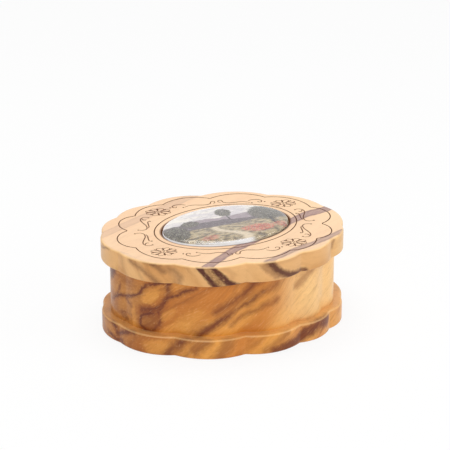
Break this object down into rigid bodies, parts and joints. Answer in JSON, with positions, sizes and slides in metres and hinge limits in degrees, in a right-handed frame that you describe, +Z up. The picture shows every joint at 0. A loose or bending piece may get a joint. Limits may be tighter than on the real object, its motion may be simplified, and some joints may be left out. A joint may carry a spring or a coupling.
{
  "type": "rosary box",
  "caption": "Small oval keepsake box of figured wood with a scalloped foot, a set-back fluted wall and a hinged scalloped lid that carries an oval picture under a clear domed cap.",
  "frame": {"origin": "middle of the foot's underside, in the plane that the box stands on", "axes": "+X along the box's longer side, +Y to the back, where the hinge is, +Z up"},
  "size_m": [0.0862, 0.064, 0.0371],
  "materials": {
    "body_wood": "satin oiled olive wood, strongly veined",
    "lid_wood": "satin oiled olive wood, pale with dark streaks",
    "picture": "printed, under resin",
    "resin": "clear gloss resin",
    "brass": "satin",
    "pin_steel": "drawn wire",
    "nickel": "nickel plated"
  },
  "bodies": {
    "box_body": {"base_block": "body_wood", "hinge_body_leaf": "brass", "hinge_pin": "pin_steel", "body_screw_left": "brass", "body_screw_right": "brass", "body_magnet": "nickel"},
    "lid": {"lid_plate": "lid_wood", "picture_plaque": "picture", "resin_dome": "resin", "hinge_lid_leaf": "brass", "lid_screw_left": "brass", "lid_screw_right": "brass", "lid_magnet": "nickel"}
  },
  "joints": [
    {"name": "lid_hinge", "type": "hinge", "parent": "box_body", "child": "lid", "pos_m": [0, 0.02927, 0.0273], "axis": [-1, 0, 0], "range_deg": [0, 96]}
  ]
}
